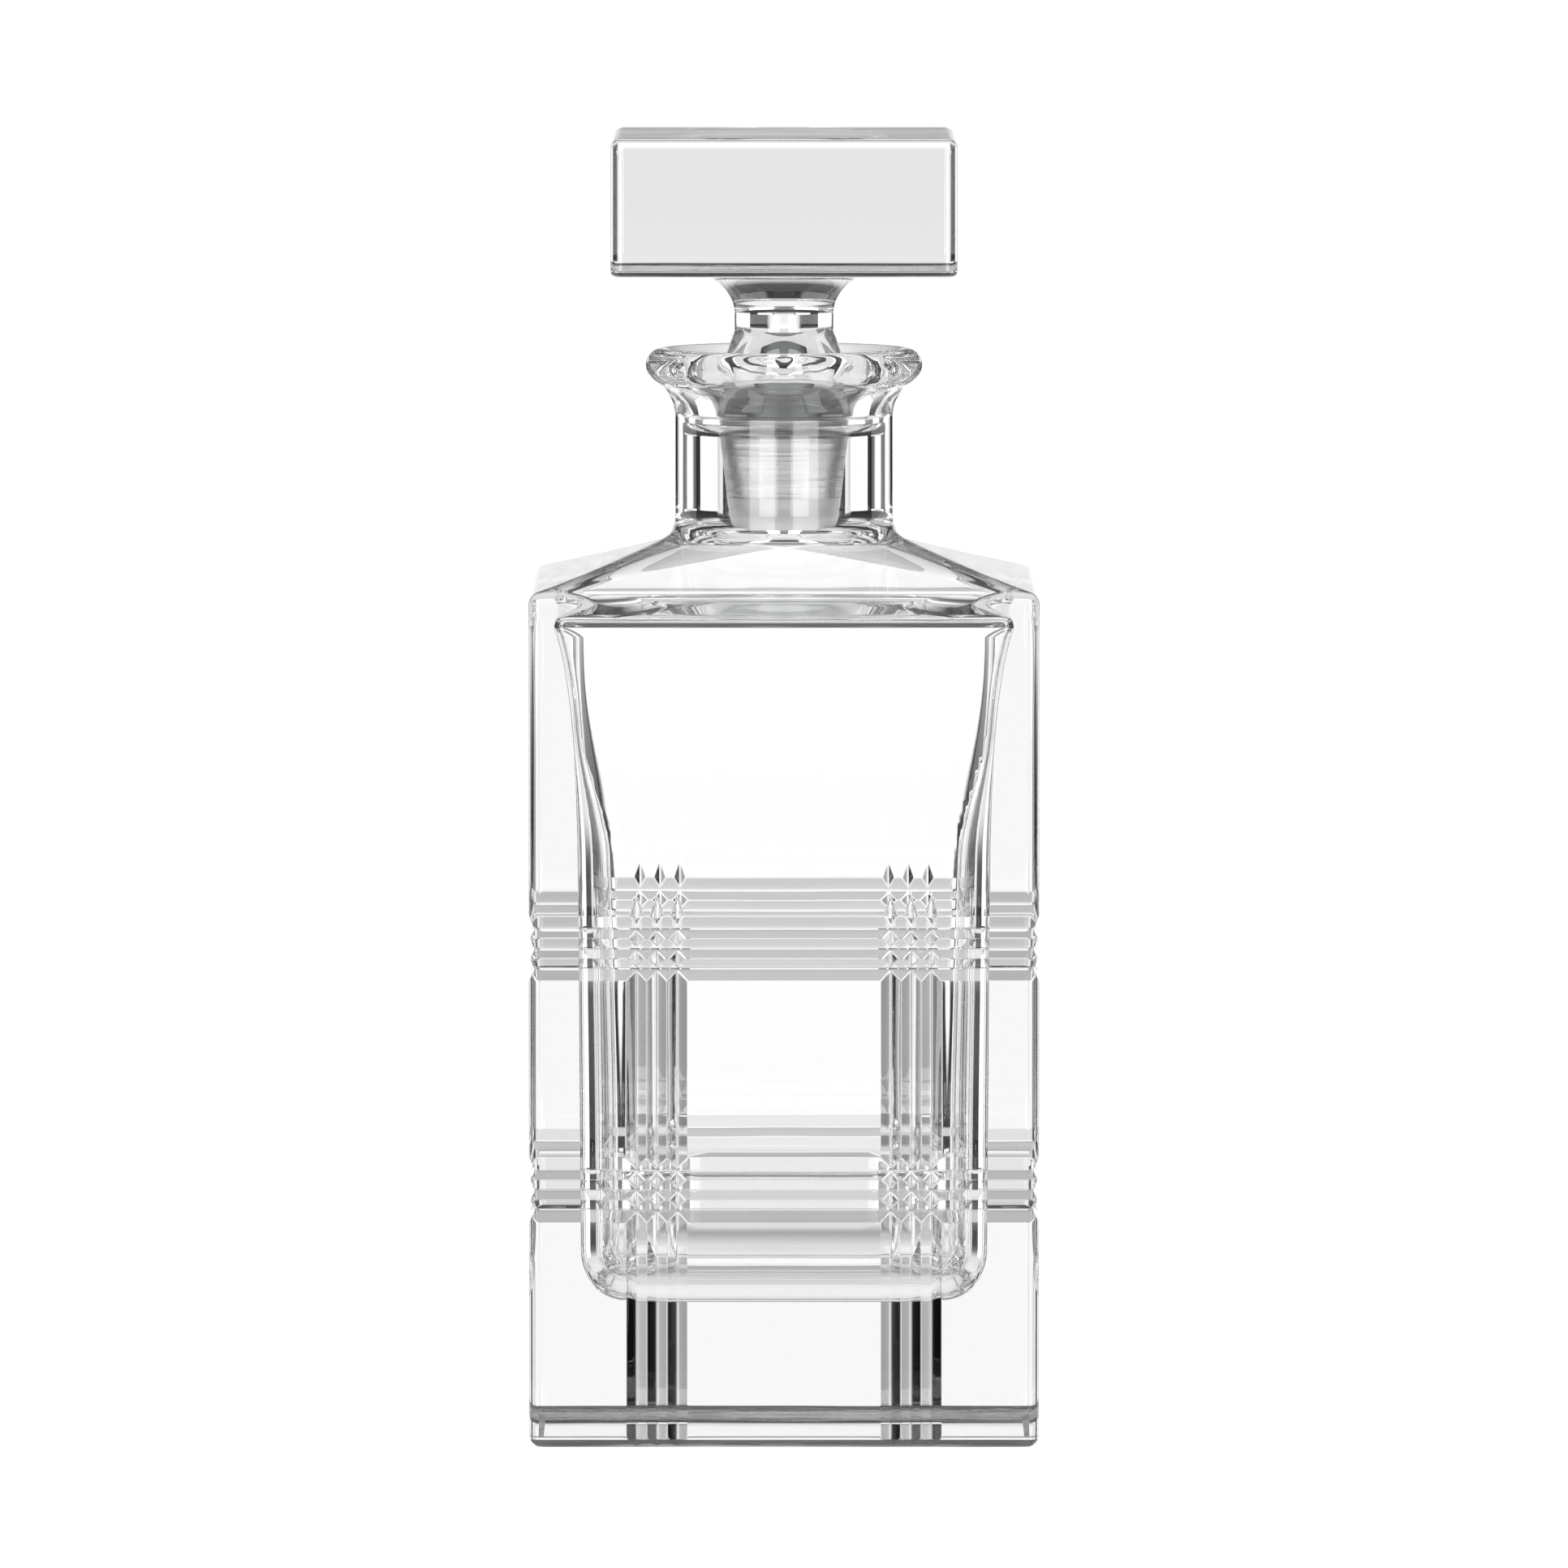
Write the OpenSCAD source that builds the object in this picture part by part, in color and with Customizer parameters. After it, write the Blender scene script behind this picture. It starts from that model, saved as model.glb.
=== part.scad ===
// Cut crystal decanter: a square glass vessel and the heavy stopper ground to fit its neck.
// Millimetres, +Z up. The origin is the centre of the flat base, on the surface it stands on.

/* [Vessel] */
// Width across two opposite sides
body_w = 94; // [93:0.5:97]
// Height of the edge where the sides meet the shoulder
shoulder_z = 157.5; // [156:0.5:159]
// Radius of the four upright edges
edge_r = 1.9; // [1.4:0.1:3]
// Radius of the edge around the base
foot_r = 2.4; // [1.5:0.1:3.5]
// Radius of the edge where the sides meet the shoulder
shoulder_edge_r = 2.2; // [1:0.1:2.6]
// Rise of the shoulder for each millimetre inwards, at its outer edge
shoulder_rise = 0.28; // [0.26:0.01:0.31]
// How the shoulder steepens inwards: its extra height for each square millimetre
shoulder_bow = 0.0018; // [0.0012:0.0001:0.0022]

/* [Hollow] */
// Height of the floor inside, which is the thickness of the base
floor_z = 26; // [20:0.5:30]
// Half the width of the floor's flat middle
floor_half = 29.7; // [27:0.1:30]
// Half the width inside, just above the rounded floor
hollow_half = 37.6; // [36:0.1:38]
// Height above which the walls lean out
wall_start_z = 42; // [40:1:50]
// Lean of the walls, outwards for each millimetre up
wall_lean = 0.006; // [0:0.001:0.01]
// How far the walls thin outwards on the way up to the shoulder, besides their lean
hollow_flare = 3.95; // [3:0.05:4.2]
// Radius of the upright corners inside, low down
hollow_corner_r = 7.8; // [6:0.1:9]
// Radius of the upright corners inside, below the shoulder
hollow_corner_top_r = 1.6; // [1.4:0.1:3]
// Height inside where the walls turn in under the shoulder
hollow_top_z = 151; // [149:0.5:152]
// Rise of the ceiling under the shoulder for each millimetre inwards
ceiling_rise = 0.5; // [0.4:0.01:0.52]

/* [Neck] */
// Outer radius of the neck
neck_r = 20.3; // [19.5:0.1:21]
// Radius of the fillet at the foot of the neck
neck_foot_r = 4.2; // [2:0.1:4.5]
// Height where the neck starts to flare into the lip
lip_flare_z = 188.2; // [187:0.1:189]
// Radius of that flare
lip_flare_r = 7; // [6.5:0.1:7.5]
// Radius of the rounded lip
lip_r = 3.1; // [2.8:0.1:3.3]
// Radius of the circle that the lip is centred on
lip_centre_r = 22.7; // [22.5:0.1:23]
// Height of that circle
lip_centre_z = 197.8; // [197.5:0.1:198.2]
// Radius of the trumpet curve inside the mouth
mouth_r = 12; // [11.8:0.1:12.2]
// Radius of the bore below the seat
bore_r = 12.55; // [12.2:0.05:13]
// Height below which the bore opens into the hollow
bore_flare_z = 171.5; // [170:0.5:173]
// Radius of that opening curve
bore_flare_r = 6; // [5:0.5:7]

/* [Ground joint] */
// Height of the top of the seat and of the ground band on the plug
ground_top_z = 188; // [187.5:0.1:188.5]
// Height of the bottom of the seat
seat_bottom_z = 187; // [183:0.25:187.25]
// Height of the bottom of the plug's ground band
plug_ground_z = 173.4; // [172.5:0.1:175]
// Radius of the plug at the top of its ground band
plug_top_r = 12.3; // [12:0.05:12.4]
// Radius lost by the plug for each millimetre downwards
plug_taper = 0.115; // [0.1:0.005:0.13]
// Radial clearance between plug and seat
joint_clearance = 0.05; // [0.02:0.01:0.1]

/* [Cutting] */
// Height of the middle cut in the lower level band
lower_band_z = 47.8; // [44:0.1:52]
// Height of the middle cut in the upper level band
upper_band_z = 92.4; // [88:0.1:96]
// Depth of the level cuts
level_depth = 1; // [0.6:0.1:1.3]
// Half the width of a level cut at the face
level_half = 2.24; // [2:0.02:2.4]
// Distance from one level cut to the next
level_pitch = 3.7; // [3.5:0.05:3.9]
// Distance of each upright group from the middle of the side
upright_x = 23.4; // [20:0.1:26]
// Depth of the upright cuts
upright_depth = 0.85; // [0.5:0.05:1.1]
// Half the width of an upright cut at the face
upright_half = 1.82; // [1.6:0.02:1.84]
// Distance from one upright cut to the next
upright_pitch = 3.75; // [3.7:0.05:4]
// How far the upright cuts run on at full depth above the upper band's middle cut
upright_over = 3.8; // [3:0.1:6]
// Length over which an upright cut runs out to nothing
upright_run = 5.3; // [4:0.1:7]

/* [Stopper] */
// Width of the block across two opposite sides
block_w = 64; // [60:0.5:66]
// Height of the block
block_h = 25.6; // [22:0.1:28]
// Height of the underside of the block
block_z = 215.4; // [215:0.1:216]
// Radius of the upright edges of the block
block_edge_r = 2.2; // [2.2:0.1:5]
// Radius of the edges around the underside of the block
block_rim_r = 1.1; // [0.8:0.1:1.5]
// Radius of the edges around the top of the block
block_crown_r = 2; // [1:0.1:2]
// Radius of the stem at its waist
waist_r = 9.2; // [8.5:0.1:9.4]
// Height of the bottom of the straight waist
waist_low_z = 204.2; // [203:0.1:205]
// Height of the top of the straight waist
waist_high_z = 207.2; // [206:0.1:207.5]
// How far the stem spreads between the waist and the block
stem_flare_r = 10.4; // [9:0.1:11]
// Height over which it spreads
stem_flare_h = 8.2; // [8:0.1:8.4]
// Height of the rounded tip of the plug
tip_z = 167.5; // [167:0.1:168.5]
// Radius of the rounded edge of the tip
tip_r = 4.4; // [4:0.1:4.6]

/* [Hidden] */
$fn = 96;
GLASS = [0.86, 0.9, 0.92, 0.45];
GROUND = [0.93, 0.94, 0.95, 0.9];
CORNER_STEPS = 8;
ARC_STEPS = 8;
body_half = body_w / 2;
block_half = block_w / 2;
// How far each cutter stands out of the face it cuts
proud = 1;
// Where the rounded lip starts underneath and ends inside, as angles
lip_start_a = -50;
lip_end_a = 118;
// Where the flare under the lip and the trumpet inside it end, as an angle
flare_end_a = 114;
// How much of a quarter circle the curve between bore and hollow turns through, in degrees
bore_flare_turn = 60;
// The trumpet inside the mouth starts this much wider and higher than the seat's top
mouth_step = 0.5;
mouth_rise = 0.6;
// Height over which the bore narrows to the seat
seat_step_h = 1.5;
// The plug runs straight up from its ground band to a point just above the seat
plug_collar_h = 0.6;
// The curve from the plug to the waist starts a little narrower than the plug
curve_start_r = plug_top_r - 0.25;
curve_start_z = ground_top_z + 1.6;
// How late that curve draws in on its way up
curve_power = 2.2;
// How much of a quarter ellipse the stem's flare under the block turns through, in degrees
stem_flare_turn = 84;
// How far the stem runs on inside the block
stem_overlap = 4;
plug_bottom_r = plug_r(plug_ground_z);
// Step in from the ground band to the rounded tip, and the fall of the tip's face to its middle
tip_step = 0.1;
tip_fall = 0.7;
tip_dome_fall = 0.2;
// Height of the rounding between the floor inside and the walls
floor_round_h = 10;
// How much tighter the corners inside are by the middle of the wall
corner_eased = 1.2;
// Heights between which the corners inside ease, and then tighten under the shoulder
corner_ease_z = [60, 112];
corner_tighten_z = [108, 132];
// How the corners of a level go over into the circle of the neck
corner_power = 1.3;
// How late the walls flare on their way up
flare_power = 8;
// Levels of the walls, and of the ceiling, in the hollow
WALL_STEPS = 11;
CEILING_STEPS = 8;
// Half width of the ceiling's last level, inside the bore
ceiling_end_half = 10;
// Width of the chamfer between walls and ceiling, and its height
ceiling_edge_w = 0.4;
ceiling_edge_h = 0.7;

// Points along a circular arc
function arc(centre, r, from, to, steps = ARC_STEPS) =
    [for (i = [0:steps])
        let (a = from + (to - from) * i / steps)
        [centre.x + r * cos(a), centre.y + r * sin(a)]];

// Smooth step from 0 to 1 between two heights
function blend(z, low, high) =
    let (t = min(1, max(0, (z - low) / (high - low))))
    t * t * (3 - 2 * t);

// Radius of the plug's cone at a height
function plug_r(z) = plug_top_r - plug_taper * (ground_top_z - z);

// Points around one level of a loft: a square with rounded corners
function square_ring(half, r, z) =
    [for (quarter = [0:3], i = [0:CORNER_STEPS])
        let (mid = 90 * quarter + 45, a = 90 * (quarter + i / CORNER_STEPS))
        [(half - r) * sqrt(2) * cos(mid) + r * cos(a),
         (half - r) * sqrt(2) * sin(mid) + r * sin(a),
         z]];

// Corner radius of a level that narrows from a square to the round neck
function corner_towards_neck(half, outer_half, outer_r, neck) =
    let (t = (outer_half - half) / (outer_half - neck))
    min(half - 0.3, outer_r + (neck - outer_r) * pow(max(0, t), corner_power));

// A closed skin over levels given as [half width, corner radius, height], lowest first
module loft(levels) {
    n = 4 * (CORNER_STEPS + 1);
    last = n * (len(levels) - 1);
    polyhedron(
        points = [for (level = levels) each square_ring(level[0], level[1], level[2])],
        faces = concat(
            [[for (i = [0:n - 1]) i]],
            [for (k = [0:len(levels) - 2], i = [0:n - 1])
                let (a = k * n + i, b = k * n + (i + 1) % n)
                [a, a + n, b + n, b]],
            [[for (i = [n - 1:-1:0]) last + i]]),
        convexity = 4);
}

// Height of the outside of the shoulder at a half width
function shoulder_height(half) =
    let (inwards = body_half - half)
    shoulder_z + shoulder_rise * inwards + shoulder_bow * inwards * inwards;

// Outside of the square body, from the sole up to a level hidden in the neck
function outer_levels() =
    let (
        lean = atan(shoulder_rise),
        edge_half = body_half - shoulder_edge_r * (1 - sin(lean)),
        edge_z = shoulder_height(edge_half) - shoulder_edge_r * cos(lean),
        end_half = neck_r - 3)
    concat(
        [for (p = arc([body_half - foot_r, foot_r], foot_r, -90, 0, 6))
            [p.x, max(0.5, edge_r - (body_half - p.x)), p.y]],
        [for (p = arc([body_half - shoulder_edge_r, edge_z], shoulder_edge_r, 0, 90 - lean, 5))
            [p.x, edge_r, p.y]],
        [for (i = [1:10])
            let (half = edge_half - (edge_half - end_half) * i / 10)
            [half, corner_towards_neck(half, edge_half, edge_r, neck_r), shoulder_height(half)]]);

// Half width of the hollow's walls at a height
function hollow_wall(z) =
    let (up = max(0, (z - wall_start_z) / (hollow_top_z - wall_start_z)))
    hollow_half + wall_lean * (hollow_top_z - wall_start_z) * up + hollow_flare * pow(up, flare_power);

// Corner radius of the hollow at a height: wide below, tight under the shoulder
function hollow_corner(z) =
    let (eased_r = hollow_corner_r - corner_eased)
    hollow_corner_r - corner_eased * blend(z, corner_ease_z[0], corner_ease_z[1])
    - (eased_r - hollow_corner_top_r) * blend(z, corner_tighten_z[0], corner_tighten_z[1]);

// The hollow, from its rounded floor to a level inside the bore
function hollow_levels() =
    let (
        top_half = hollow_wall(hollow_top_z),
        round_top_z = floor_z + floor_round_h,
        low_half = hollow_wall(round_top_z),
        edge_half = top_half - ceiling_edge_w)
    concat(
        [for (i = [0:5])
            let (a = 90 * i / 5)
            [floor_half + (low_half - floor_half) * sin(a),
             hollow_corner_r,
             floor_z + floor_round_h * (1 - cos(a))]],
        [for (i = [1:WALL_STEPS])
            let (z = round_top_z + (hollow_top_z - round_top_z) * i / WALL_STEPS)
            [hollow_wall(z), hollow_corner(z), z]],
        [for (i = [0:CEILING_STEPS])
            let (half = edge_half - (edge_half - ceiling_end_half) * i / CEILING_STEPS)
            [half,
             corner_towards_neck(half, top_half, hollow_corner_top_r, neck_r - 2),
             hollow_top_z + ceiling_edge_h + ceiling_rise * (top_half - half)]]);

// Round part of the vessel: neck, flare and lip, with a fillet down to the shoulder
module neck_solid() {
    // The fillet leaves the neck here and meets the shoulder where both have the same slope
    foot_lean = atan(shoulder_rise + 2 * shoulder_bow * (body_half - neck_r));
    foot_half = neck_r + neck_foot_r * (1 - sin(foot_lean));
    foot_z = shoulder_height(foot_half) + neck_foot_r * cos(foot_lean);
    rotate_extrude()
        polygon(concat(
            [[0, shoulder_z], [foot_half, shoulder_z]],
            arc([neck_r + neck_foot_r, foot_z], neck_foot_r, 270 - foot_lean, 180, 5),
            arc([neck_r + lip_flare_r, lip_flare_z], lip_flare_r, 180, flare_end_a),
            arc([lip_centre_r, lip_centre_z], lip_r, lip_start_a, 90),
            [[0, lip_centre_z + lip_r]]));
}

// The bore right through the neck: trumpet mouth, seat, wider bore, opening curve
module neck_bore() {
    seat_top_r = plug_r(ground_top_z) + joint_clearance;
    seat_low_r = plug_r(seat_bottom_z) + joint_clearance;
    mouth_centre = [seat_top_r + mouth_step + mouth_r, ground_top_z + mouth_rise];
    hollow_side_r = bore_r + bore_flare_r * (1 - cos(bore_flare_turn));
    rotate_extrude()
        polygon(concat(
            [[0, shoulder_z], [hollow_side_r, shoulder_z]],
            arc([bore_r + bore_flare_r, bore_flare_z], bore_flare_r, 180 + bore_flare_turn, 180),
            [[bore_r, seat_bottom_z - seat_step_h], [seat_low_r, seat_bottom_z]],
            [[seat_top_r, ground_top_z]],
            arc(mouth_centre, mouth_r, 180, flare_end_a),
            arc([lip_centre_r, lip_centre_z], lip_r, lip_end_a, 90, 3),
            [[lip_centre_r, lip_centre_z + lip_r + proud], [0, lip_centre_z + lip_r + proud]]));
}

// One cutter for three level cuts, whose ridges stay just below the face
module level_cuts() {
    spread = level_half * (1 + proud / level_depth);
    ridge = level_depth * (1 - level_pitch / 2 / level_half);
    rotate([90, 0, 0])
        linear_extrude(height = body_w + 2 * proud, center = true)
            polygon([
                [proud, -level_pitch - spread],
                [-level_depth, -level_pitch],
                [-ridge, -level_pitch / 2],
                [-level_depth, 0],
                [-ridge, level_pitch / 2],
                [-level_depth, level_pitch],
                [proud, level_pitch + spread]]);
}

// One cutter for an upright cut, which runs out of the face at its top
module upright_cut() {
    full_z = upper_band_z + upright_over;
    past = 0.1;
    out_z = full_z + upright_run * (1 + past / upright_depth);
    sections = [[-proud, upright_depth], [full_z, upright_depth], [out_z, -past]];
    polyhedron(
        points = [for (s = sections)
            let (spread = upright_half * (s[1] + proud) / upright_depth)
            each [[-s[1], 0, s[0]], [proud, -spread, s[0]], [proud, spread, s[0]]]],
        faces = concat(
            [[0, 1, 2], [8, 7, 6]],
            [for (k = [0, 3], i = [0:2])
                let (j = (i + 1) % 3)
                [k + i, k + i + 3, k + j + 3, k + j]]));
}

// All the cutting on the four sides
module side_cutting() {
    for (turn = [0:90:270])
        rotate([0, 0, turn])
            translate([body_half, 0, 0]) {
                for (z = [lower_band_z, upper_band_z])
                    translate([0, 0, z])
                        level_cuts();
                for (group = [-1, 1], k = [-1:1])
                    translate([0, group * upright_x + k * upright_pitch, 0])
                        upright_cut();
            }
}

// The vessel: one piece of glass
module decanter_body() {
    color(GLASS)
        difference() {
            union() {
                loft(outer_levels());
                neck_solid();
            }
            loft(hollow_levels());
            neck_bore();
            side_cutting();
        }
}

// The square block that the stopper is lifted by
module stopper_block() {
    top_z = block_z + block_h;
    low = arc([block_half - block_rim_r, block_z + block_rim_r], block_rim_r, -90, 0, 4);
    high = arc([block_half - block_crown_r, top_z - block_crown_r], block_crown_r, 0, 90, 5);
    loft([for (p = concat(low, high)) [p.x, block_edge_r - (block_half - p.x), p.y]]);
}

// Rounded tip, ground cone, curve, straight waist and flare, turned in one profile
module stopper_stem() {
    tip_centre = [plug_bottom_r - tip_step - tip_r, tip_z + tip_fall + tip_r];
    rotate_extrude()
        polygon(concat(
            [[0, tip_z]],
            [[tip_centre.x / 2, tip_z + tip_dome_fall]],
            arc(tip_centre, tip_r, -90, 0),
            [[plug_bottom_r, plug_ground_z], [plug_top_r, ground_top_z]],
            [[plug_top_r, ground_top_z + plug_collar_h]],
            [for (i = [0:ARC_STEPS])
                let (t = i / ARC_STEPS)
                [curve_start_r - (curve_start_r - waist_r) * pow(t, curve_power),
                 curve_start_z + (waist_low_z - curve_start_z) * t]],
            [for (i = [0:ARC_STEPS])
                let (a = stem_flare_turn * i / ARC_STEPS)
                [waist_r + stem_flare_r * (1 - cos(a)), waist_high_z + stem_flare_h * sin(a)]],
            [[waist_r + stem_flare_r, block_z + stem_overlap], [0, block_z + stem_overlap]]));
}

// The stopper: one piece of glass
module stopper() {
    color(GROUND)
        union() {
            stopper_block();
            stopper_stem();
        }
}

decanter_body();
stopper();
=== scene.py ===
"""Looks of a square cut-crystal decanter and its ground stopper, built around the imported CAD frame.

Lengths inside the glass classes are millimetres, as a glass cutter would give them, and every mesh is
written in metres. The studio and the camera are in metres throughout.
"""

import logging
import math
from dataclasses import dataclass, field
from enum import Enum

import bpy
import numpy as np
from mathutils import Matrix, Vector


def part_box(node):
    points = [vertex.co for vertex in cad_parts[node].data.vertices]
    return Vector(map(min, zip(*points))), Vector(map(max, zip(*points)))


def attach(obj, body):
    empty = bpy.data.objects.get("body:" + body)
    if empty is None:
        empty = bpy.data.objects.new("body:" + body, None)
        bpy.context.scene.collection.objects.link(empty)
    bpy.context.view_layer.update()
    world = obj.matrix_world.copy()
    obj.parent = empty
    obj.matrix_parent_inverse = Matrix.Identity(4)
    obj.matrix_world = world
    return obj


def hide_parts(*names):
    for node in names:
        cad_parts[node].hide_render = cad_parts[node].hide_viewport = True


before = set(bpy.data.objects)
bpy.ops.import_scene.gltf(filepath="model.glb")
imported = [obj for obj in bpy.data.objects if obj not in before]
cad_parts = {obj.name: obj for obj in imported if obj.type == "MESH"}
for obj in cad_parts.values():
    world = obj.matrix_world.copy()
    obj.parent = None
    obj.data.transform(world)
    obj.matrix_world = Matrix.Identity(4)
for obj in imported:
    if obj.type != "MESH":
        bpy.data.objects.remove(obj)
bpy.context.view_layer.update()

MM = 0.001
LOG = logging.getLogger("decanter")

# Smallest length and ray component that anything is divided by.
TINY_LENGTH = 1e-9
TINY_RAY = 1e-6
# Grid lines nearer to one another than this are drawn as one.
LINE_MERGE = 0.04
# Share of a low edge's radius, from below, that standing on tables has scratched.
WORN_SHARE = 0.5
# Chords between a corner and the middle of a side on every lofted ring.
LOFT_STEPS = 32
# How fast a section's corners grow rounder on the way in to the neck.
CORNER_GROWTH = 1.3


class Slot(Enum):
    """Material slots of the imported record."""

    VESSEL = "vessel_crystal"
    STOPPER = "stopper_crystal"


class Surface(Enum):
    """How a stretch of glass was finished; the value is its place in a piece's material list."""

    POLISHED = 0
    GROUND = 1
    FIRE_FINISHED = 2
    SATIN = 3
    WORN = 4


@dataclass(frozen=True)
class Station:
    """One level of a loft: a square with rounded corners, or a circle where corner equals half."""

    half: float
    corner: float
    height: float
    surface: Surface = Surface.POLISHED


def arc(
    centre: tuple[float, float], radius: float, start: float, end: float, steps: int
) -> list[tuple[float, float]]:
    """Points along a circular arc.

    Args:
        centre: Radius and height of the arc's centre.
        radius: Radius of the arc.
        start: First angle in degrees.
        end: Last angle in degrees.
        steps: How many chords the arc is cut into.

    Returns:
        Radius and height of each point.
    """
    angles = np.radians(np.linspace(start, end, steps + 1))
    return [(centre[0] + radius * math.cos(a), centre[1] + radius * math.sin(a)) for a in angles]


def smooth_step(value: np.ndarray | float, low: float, high: float) -> np.ndarray | float:
    """Smooth rise from 0 at low to 1 at high.

    Args:
        value: Where to read the curve.
        low: Where it leaves 0.
        high: Where it reaches 1.

    Returns:
        The curve's value, from 0 to 1.
    """
    t = np.clip((value - low) / (high - low), 0.0, 1.0)
    return t * t * (3.0 - 2.0 * t)


def soft_min(a: np.ndarray, b: np.ndarray, width: float) -> np.ndarray:
    """The smaller of two fields, rounded where they meet.

    Args:
        a: First field.
        b: Second field.
        width: Difference below which the corner between them is rounded.

    Returns:
        The rounded minimum.
    """
    near = np.maximum(width - np.abs(a - b), 0.0) / width
    return np.minimum(a, b) - near * near * width / 4.0


def soft_max(a: np.ndarray, b: np.ndarray, width: float) -> np.ndarray:
    """The larger of two fields, rounded where they meet.

    Args:
        a: First field.
        b: Second field.
        width: Difference below which the corner between them is rounded.

    Returns:
        The rounded maximum.
    """
    return -soft_min(-a, -b, width)


def polar_angles(steps: int) -> np.ndarray:
    """Angles round a ring, crowded at the four corners of a square.

    Args:
        steps: Chords between a corner and the middle of a side.

    Returns:
        Angles in radians, counter-clockwise, starting at the middle of the +X side.
    """
    crowding = 2.2
    t = np.arange(-steps, steps) / steps
    quarter = 45.0 + 45.0 * np.sign(t) * np.abs(t) ** crowding
    return np.radians(np.concatenate([quarter + 90.0 * k for k in range(4)]))


def square_sections(
    half: np.ndarray, corner: np.ndarray, angles: np.ndarray
) -> tuple[np.ndarray, np.ndarray]:
    """Cuts rays from the axis with squares that have rounded corners.

    Args:
        half: Half width of each section.
        corner: Corner radius of each section.
        angles: Angle of each ray.

    Returns:
        Points and outward normals in the plane, each of shape sections by rays by 2.
    """
    half, corner = half[:, None], corner[:, None]
    ray = np.stack([np.cos(angles), np.sin(angles)], axis=-1)[None]
    size = np.abs(ray)
    long_side, short_side = size.max(-1), size.min(-1)
    inner = half - corner
    on_flat = half * short_side / long_side <= inner
    total = inner * (size[..., 0] + size[..., 1])
    reach_arc = total + np.sqrt(np.maximum(total**2 - 2.0 * inner**2 + corner**2, 0.0))
    reach = np.where(on_flat, half / long_side, reach_arc)
    points = reach[..., None] * ray
    centre = inner[..., None] * np.sign(ray)
    round_normal = (points - centre) / np.maximum(corner[..., None], TINY_LENGTH)
    flat_normal = np.sign(ray) * (size >= long_side[..., None])
    normals = np.where(on_flat[..., None], flat_normal, round_normal)
    normals /= np.linalg.norm(normals, axis=-1, keepdims=True)
    return points, normals


@dataclass
class GlassMesh:
    """Collects rings of points into one closed skin with its own shading normals."""

    points: list[np.ndarray] = field(default_factory=list)
    normals: list[np.ndarray] = field(default_factory=list)
    faces: list[tuple[int, ...]] = field(default_factory=list)
    surfaces: list[int] = field(default_factory=list)
    count: int = 0

    def add_rings(
        self, points: np.ndarray, normals: np.ndarray, surfaces: list[Surface]
    ) -> tuple[range, range]:
        """Adds a stack of rings with equal counts and the quads between them.

        Args:
            points: Ring by point by 3.
            normals: The same shape.
            surfaces: Surface of the band above each ring; the last is unused.

        Returns:
            Vertex numbers of the first ring and of the last ring.
        """
        rings, n = points.shape[:2]
        start = self.count
        self.points.append(points.reshape(-1, 3))
        self.normals.append(normals.reshape(-1, 3))
        self.count += rings * n
        for k in range(rings - 1):
            low, high = start + k * n, start + (k + 1) * n
            for i in range(n):
                j = (i + 1) % n
                self.faces.append((low + i, low + j, high + j, high + i))
            self.surfaces.extend([surfaces[k].value] * n)
        return range(start, start + n), range(self.count - n, self.count)

    def zip_rings(self, low: range, high: range) -> None:
        """Joins two rings of different counts with triangles, walking both by angle.

        Args:
            low: Vertices of the ring that comes first along the profile.
            high: Vertices of the ring that comes next.
        """
        stacked = np.concatenate(self.points)
        low_turn, high_turn = (
            np.unwrap(np.arctan2(stacked[list(ring), 1], stacked[list(ring), 0])) for ring in (low, high)
        )
        n, m = len(low), len(high)
        start = int(np.argmin(np.abs(np.exp(1j * high_turn) - np.exp(1j * low_turn[0]))))
        shift = low_turn[0] - high_turn[start]
        shift = round(shift / (2 * math.pi)) * 2 * math.pi
        i = j = 0
        while i < n or j < m:
            next_low = low_turn[(i + 1) % n] + 2 * math.pi * ((i + 1) // n)
            step = start + j + 1
            next_high = high_turn[step % m] + 2 * math.pi * (step // m) + shift
            a, b = low[i % n], high[(start + j) % m]
            if j >= m or (i < n and next_low <= next_high):
                self.faces.append((a, low[(i + 1) % n], b))
                i += 1
            else:
                self.faces.append((a, high[step % m], b))
                j += 1
            self.surfaces.append(Surface.POLISHED.value)

    def cap(self, ring: range, centre: tuple[float, float, float], up: bool) -> None:
        """Closes a ring with a fan round a centre point.

        Args:
            ring: Vertices of the ring.
            centre: Where the fan meets.
            up: True if the cap faces +Z.
        """
        self.points.append(np.array([centre]))
        self.normals.append(np.array([(0.0, 0.0, 1.0 if up else -1.0)]))
        n = len(ring)
        for i in range(n):
            a, b = ring[i], ring[(i + 1) % n]
            self.faces.append((a, b, self.count) if up else (b, a, self.count))
        self.surfaces.extend([Surface.POLISHED.value] * n)
        self.count += 1

    def to_object(self, name: str, materials: list[bpy.types.Material]) -> bpy.types.Object:
        """Writes the skin as a Blender object in metres.

        Args:
            name: Name of the piece.
            materials: Materials in the order of Surface.

        Returns:
            The new object, linked to the scene.
        """
        mesh = bpy.data.meshes.new(name)
        mesh.from_pydata((np.concatenate(self.points) * MM).tolist(), [], self.faces)
        for material in materials:
            mesh.materials.append(material)
        mesh.polygons.foreach_set("material_index", np.array(self.surfaces, dtype=np.int32))
        mesh.polygons.foreach_set("use_smooth", np.ones(len(self.faces), dtype=bool))
        mesh.update()
        mesh.normals_split_custom_set_from_vertices(np.concatenate(self.normals).tolist())
        piece = bpy.data.objects.new(name, mesh)
        bpy.context.scene.collection.objects.link(piece)
        return piece


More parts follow.
